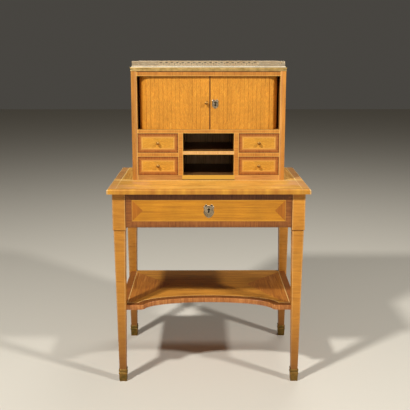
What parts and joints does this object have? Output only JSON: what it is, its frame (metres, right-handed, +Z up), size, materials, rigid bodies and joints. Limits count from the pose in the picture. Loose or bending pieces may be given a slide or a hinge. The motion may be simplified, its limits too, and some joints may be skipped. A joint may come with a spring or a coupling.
{
  "type": "bonheur du jour",
  "caption": "Small writing table on square tapering legs with a shaped shelf below and a tambour cabinet with drawers and a galleried marble top at the rear.",
  "frame": {"origin": "on the floor under the middle of the table top", "axes": "+X to the right seen from the front, +Y from the front to the back, +Z up"},
  "size_m": [0.67, 0.44, 1.097],
  "materials": {
    "tulipwood_veneer": "french polished",
    "rosewood_veneer": "french polished",
    "tambour_veneer": "french polished",
    "oak": "waxed",
    "gilt_brass": "aged gilt",
    "lock_brass": "satin",
    "lock_steel": "satin",
    "marble": "polished",
    "canvas": "plain weave"
  },
  "bodies": {
    "desk": {"table_top": "tulipwood_veneer", "case_side_left": "tulipwood_veneer", "case_side_right": "tulipwood_veneer", "undershelf": "tulipwood_veneer", "side_apron_left": "tulipwood_veneer", "side_apron_right": "tulipwood_veneer", "rear_apron": "tulipwood_veneer", "leg_front_left": "tulipwood_veneer", "leg_front_right": "tulipwood_veneer", "leg_rear_left": "tulipwood_veneer", "leg_rear_right": "tulipwood_veneer", "case_floor": "rosewood_veneer", "tambour_floor": "rosewood_veneer", "case_top": "rosewood_veneer", "divider_left": "rosewood_veneer", "divider_right": "rosewood_veneer", "drawer_shelf_left": "rosewood_veneer", "drawer_shelf_right": "rosewood_veneer", "pigeonhole_shelf": "rosewood_veneer", "case_back": "oak", "front_rails": "oak", "drawer_runners": "oak", "tambour_linings": "oak", "brass_band": "gilt_brass", "gallery": "gilt_brass", "sabot_front_left": "gilt_brass", "sabot_front_right": "gilt_brass", "sabot_rear_left": "gilt_brass", "sabot_rear_right": "gilt_brass", "marble_top": "marble"},
    "main_drawer": {"drawer_front": "tulipwood_veneer", "drawer_side_left": "oak", "drawer_side_right": "oak", "drawer_back": "oak", "drawer_bottom": "oak", "drawer_escutcheon": "gilt_brass", "drawer_lock": "lock_brass"},
    "drawer_bolt": {"drawer_lock_bolt": "lock_steel"},
    "tambour_left": {"tambour_stile_left": "tambour_veneer", "tambour_slats_left": "tambour_veneer", "tambour_canvas_left": "canvas", "tambour_knob": "gilt_brass"},
    "tambour_right": {"tambour_stile_right": "tambour_veneer", "tambour_slats_right": "tambour_veneer", "tambour_canvas_right": "canvas", "tambour_escutcheon": "gilt_brass", "tambour_lock": "lock_brass"},
    "tambour_bolt": {"tambour_lock_bolt": "lock_steel"},
    "small_drawer_lower_left": {"small_drawer_lower_left_front": "tulipwood_veneer", "small_drawer_lower_left_box": "oak", "small_drawer_lower_left_knob": "gilt_brass"},
    "small_drawer_lower_right": {"small_drawer_lower_right_front": "tulipwood_veneer", "small_drawer_lower_right_box": "oak", "small_drawer_lower_right_knob": "gilt_brass"},
    "small_drawer_upper_left": {"small_drawer_upper_left_front": "tulipwood_veneer", "small_drawer_upper_left_box": "oak", "small_drawer_upper_left_knob": "gilt_brass"},
    "small_drawer_upper_right": {"small_drawer_upper_right_front": "tulipwood_veneer", "small_drawer_upper_right_box": "oak", "small_drawer_upper_right_knob": "gilt_brass"}
  },
  "joints": [
    {"name": "main_drawer_slide", "type": "slide", "parent": "desk", "child": "main_drawer", "axis": [0, -1, 0], "range_m": [0, 0.25]},
    {"name": "drawer_bolt_slide", "type": "slide", "parent": "main_drawer", "child": "drawer_bolt", "axis": [0, 0, 1], "range_m": [0, 0.007]},
    {"name": "small_drawer_lower_left_slide", "type": "slide", "parent": "desk", "child": "small_drawer_lower_left", "axis": [0, -1, 0], "range_m": [0, 0.17]},
    {"name": "small_drawer_lower_right_slide", "type": "slide", "parent": "desk", "child": "small_drawer_lower_right", "axis": [0, -1, 0], "range_m": [0, 0.17]},
    {"name": "small_drawer_upper_left_slide", "type": "slide", "parent": "desk", "child": "small_drawer_upper_left", "axis": [0, -1, 0], "range_m": [0, 0.17]},
    {"name": "small_drawer_upper_right_slide", "type": "slide", "parent": "desk", "child": "small_drawer_upper_right", "axis": [0, -1, 0], "range_m": [0, 0.17]},
    {"name": "tambour_left_slide", "type": "slide", "parent": "desk", "child": "tambour_left", "axis": [-1, 0, 0], "range_m": [0, 0.178], "deforming": ["tambour_slats_left", "tambour_canvas_left"]},
    {"name": "tambour_right_slide", "type": "slide", "parent": "desk", "child": "tambour_right", "axis": [1, 0, 0], "range_m": [0, 0.168], "deforming": ["tambour_slats_right", "tambour_canvas_right"]},
    {"name": "tambour_bolt_slide", "type": "slide", "parent": "tambour_right", "child": "tambour_bolt", "axis": [-1, 0, 0], "range_m": [0, 0.006]}
  ]
}
